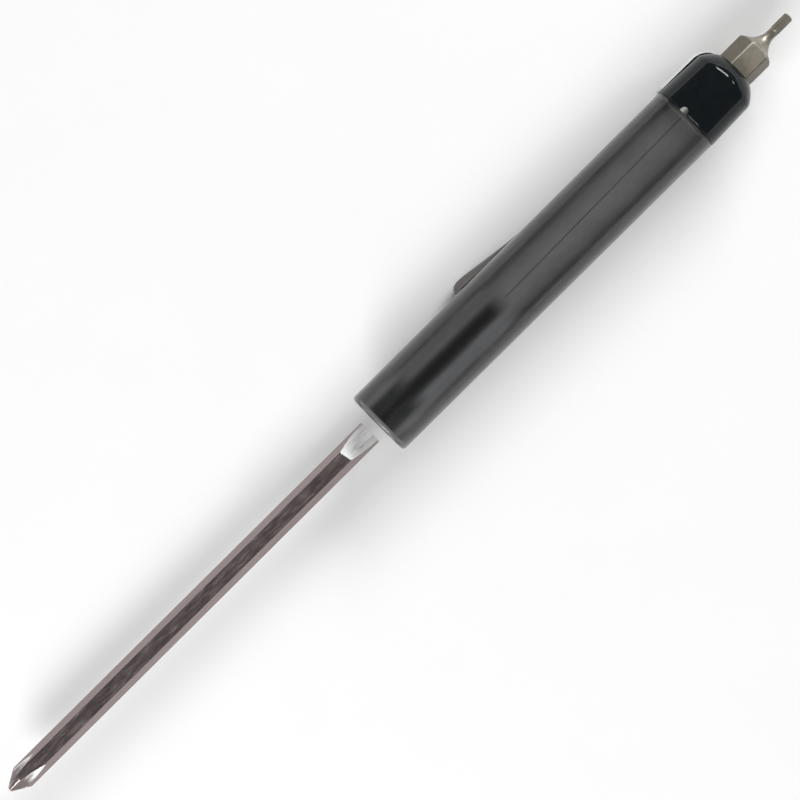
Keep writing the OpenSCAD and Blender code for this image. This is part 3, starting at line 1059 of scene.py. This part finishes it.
def blade_radius(along, turns):
    """Radius of the blade: hexagon, turned point, flutes and, at the slotted tip, grinding and bevels."""
    limits = [
        hexagon(turns, BLADE_FLATS, 90),
        np.full(len(turns), BLADE_CORNER_R),
        np.full(len(turns), point_limit(along)),
        flute_limit(along, turns),
    ]
    level = ground_level(along)
    if level is not None:
        away = np.radians(turns - GRIND_TURN)
        limits.append(level / np.maximum(np.abs(np.cos(away)), LEAST_SHARE))
        bevel = BLADE_FLATS / math.sqrt(3) - SLOT_BEVEL + SLOT_END - along
        limits.append(bevel / np.maximum(np.abs(np.sin(away)), LEAST_SHARE))
    return soft_least(limits)


def blade():
    tip = [CROSS_END + CROSS_LEN * share**TIP_CROWDING for share in even(0, 1, 130)]
    slot = even(SLOT_FROM, SLOT_END, 90)
    alongs = [*tip, *SHAFT_RINGS, *slot]
    return radial_skin("blade_bar", alongs, even_turns(BAR_TURNS), blade_radius, sharp=28)


def neck_radius(along):
    """Radius of the bit's hollow neck, which runs into the shank."""
    return SHANK_R + NECK_R - math.sqrt(NECK_R**2 - max(NECK_END - along, 0) ** 2)


def bit_radius(along, turns):
    """Radius of the bit: hexagon, bevel, hollow neck and a tip with six rounded cuts."""
    limits = [hexagon(turns, BIT_FLATS, BIT_TURN + 30), np.full(len(turns), BIT_CORNER_R)]
    if BODY_END < along <= BEVEL_END:
        share = (along - BODY_END) / (BEVEL_END - BODY_END)
        bevel = BIT_CORNER_R + (neck_radius(BEVEL_END) - BIT_CORNER_R) * share
        limits.append(np.full(len(turns), bevel))
    if along > BEVEL_END:
        swell = min(max((along - NECK_END) / SWELL_LEN, 0), 1)
        limits.append(np.full(len(turns), neck_radius(along) + (LOBE_R - SHANK_R) * swell))
    if along > TIP_END - TIP_BEVEL:
        limits.append(np.full(len(turns), LOBE_R - (along - TIP_END + TIP_BEVEL)))
    before = LOBE_CUT_START - along
    if before < LOBE_CUT_R:
        away = np.radians((turns - LOBE_CUT_TURN + 30) % 60 - 30)
        reach = LOBE_CUT_R**2 - max(before, 0) ** 2 - (LOBE_CUT_CENTRE * np.sin(away)) ** 2
        cut = LOBE_CUT_CENTRE * np.cos(away) - np.sqrt(np.maximum(reach, 0))
        limits.append(np.where(reach > 0, cut, NO_CUT))
    return soft_least(limits)


def bit():
    front = even(BIT_FRONT, BIT_FRONT_END, 70)
    tip = even(BIT_TIP, TIP_END, 80)
    alongs = [BIT_START, *BODY_RINGS, *front, *tip]
    return radial_skin("bit_bar", alongs, even_turns(BAR_TURNS, BIT_TURN), bit_radius, sharp=28)


# Finish of the pieces


OFF_SLOT_END = 0.01
OFF_CROSS_END = 0.02
FLUTES_REACH = 10
NEAR_GROUND = 0.025
NEAR_FLUTE = 0.03


def finish_piece(piece, material, body=None, node=None):
    """Gives a piece its material and slot, the body it rides and the node it replaces."""
    piece.data.materials.clear()
    piece.data.materials.append(material)
    if body:
        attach(piece, body)
    if node:
        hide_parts(node)
    return piece


def add_finish(piece, material, chosen, index):
    """Gives another finish to the faces that chosen(along, radius, turn) picks."""
    piece.data.materials.append(material)
    for face in piece.data.polygons:
        x, y, z = face.center
        aside, up = (y - AXIS_Y) / MM, (z - AXIS_Z) / MM
        if chosen((x - MOUTH_X) / MM, math.hypot(aside, up), math.degrees(math.atan2(up, aside))):
            face.material_index = index


def on_ground_face(along, radius, turn):
    level = ground_level(along)
    if level is None or along > SLOT_END - OFF_SLOT_END:
        return False
    return radius * abs(math.cos(math.radians(turn - GRIND_TURN))) > level - NEAR_GROUND


def on_flute(along, radius, turn):
    if along > CROSS_END + FLUTES_REACH or along < CROSS_END + OFF_CROSS_END:
        return False
    return radius > float(flute_limit(along, np.array([turn]))[0]) - NEAR_FLUTE


def build_tool():
    barrel = lathe("barrel_moulding", even_turns(SKIN_TURNS), barrel_path, sharp=40)
    finish_piece(barrel, SKIN, "handle", "barrel")
    core = lathe("barrel_core", even_turns(CORE_TURNS), core_path, sharp=40)
    finish_piece(core, CORE, "handle")
    finish_piece(fine_dark_line(), LINE, "handle")
    finish_piece(key(), KEY, "handle")
    cap = lathe("cap_moulding", even_turns(SKIN_TURNS, BIT_TURN), cap_path, sharp=30)
    finish_piece(cap, CAP, "handle", "end_cap")

    bar = finish_piece(blade(), BLADE, "blade", "blade")
    add_finish(bar, GROUND, on_ground_face, 1)
    add_finish(bar, FLUTE, on_flute, 2)
    finish_piece(bit(), BIT, "bit", "insert_bit")

    sheet = clip()
    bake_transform(sheet)
    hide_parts("clip_head", "clip_arm")

    finish_piece(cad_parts["blade_bush"], BUSH)
    finish_piece(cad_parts["bit_magnet"], MAGNET)


# Floor, light and camera


# The floor and the lamps are in metres and watts, the camera in millimetres from the mouth's middle.
FLOOR_HALF = 2.0
SKY = ((0.0, 2.6), (0.02, 2.4), (0.045, 0.5), (0.07, 0.3), (0.2, 0.19), (0.5, 0.16), (1.0, 0.15))
LAMPS = (
    ("lamp_cap_end", (0.88, 0.34, 0.47), (0.7, 0.26), 11),
    ("lamp_blade_end", (-0.85, -0.3, 0.5), (0.7, 0.28), 12),
    ("lamp_small", (0.88, -0.32, 0.47), (0.14, 0.1), 0.9),
)
CAMERA_AHEAD = 5.62
CAMERA_SIDE = 0.293
CAMERA_HEIGHT = 545
CAMERA_LENS = 144
CAMERA_SENSOR = 36
CAMERA_TURN = -44.79


def floor():
    look = new_look("pale_floor")
    grain = look.noise(EVERY_WAY, 60)
    look.feed("Base Color", look.ramp(grain, [(0.0, grey(0.86)), (1.0, grey(0.88))]))
    look.set("Roughness", 0.9)
    look.set("Specular IOR Level", 0.2)
    corners = [
        (-FLOOR_HALF, -FLOOR_HALF, 0),
        (FLOOR_HALF, -FLOOR_HALF, 0),
        (FLOOR_HALF, FLOOR_HALF, 0),
        (-FLOOR_HALF, FLOOR_HALF, 0),
    ]
    plane = mesh_object("floor", corners, [(0, 1, 2, 3)])
    plane.data.materials.append(look.owner)


def studio():
    """Dim sky with a bright horizon, and the lamps."""
    scene_world = bpy.data.worlds.new("studio")
    bpy.context.scene.world = scene_world
    look = Look(scene_world, "BACKGROUND")
    look.feed("Color", look.ramp(look.parts("Generated")["Z"], [(z, grey(level)) for z, level in SKY]))
    look.set("Strength", 1.0)
    for name, place, size, power in LAMPS:
        light = bpy.data.lights.new(name, "AREA")
        light.shape = "RECTANGLE"
        light.size, light.size_y = size
        light.energy = power
        lamp = bpy.data.objects.new(name, light)
        lamp.location = place
        lamp.rotation_mode = "QUATERNION"
        lamp.rotation_quaternion = Vector(place).to_track_quat("Z", "Y")
        bpy.context.scene.collection.objects.link(lamp)


def camera():
    """Camera that looks straight down on the tool."""
    data = bpy.data.cameras.new("camera")
    data.lens = CAMERA_LENS
    data.sensor_width = CAMERA_SENSOR
    data.clip_start, data.clip_end = 0.01, 20
    eye = bpy.data.objects.new("camera", data)
    eye.location = (MOUTH_X + CAMERA_AHEAD * MM, AXIS_Y + CAMERA_SIDE * MM, AXIS_Z + CAMERA_HEIGHT * MM)
    eye.rotation_euler = (0, 0, math.radians(CAMERA_TURN))
    bpy.context.scene.collection.objects.link(eye)
    bpy.context.scene.camera = eye


build_tool()
floor()
studio()
camera()
bpy.context.scene.view_settings.view_transform = "Standard"
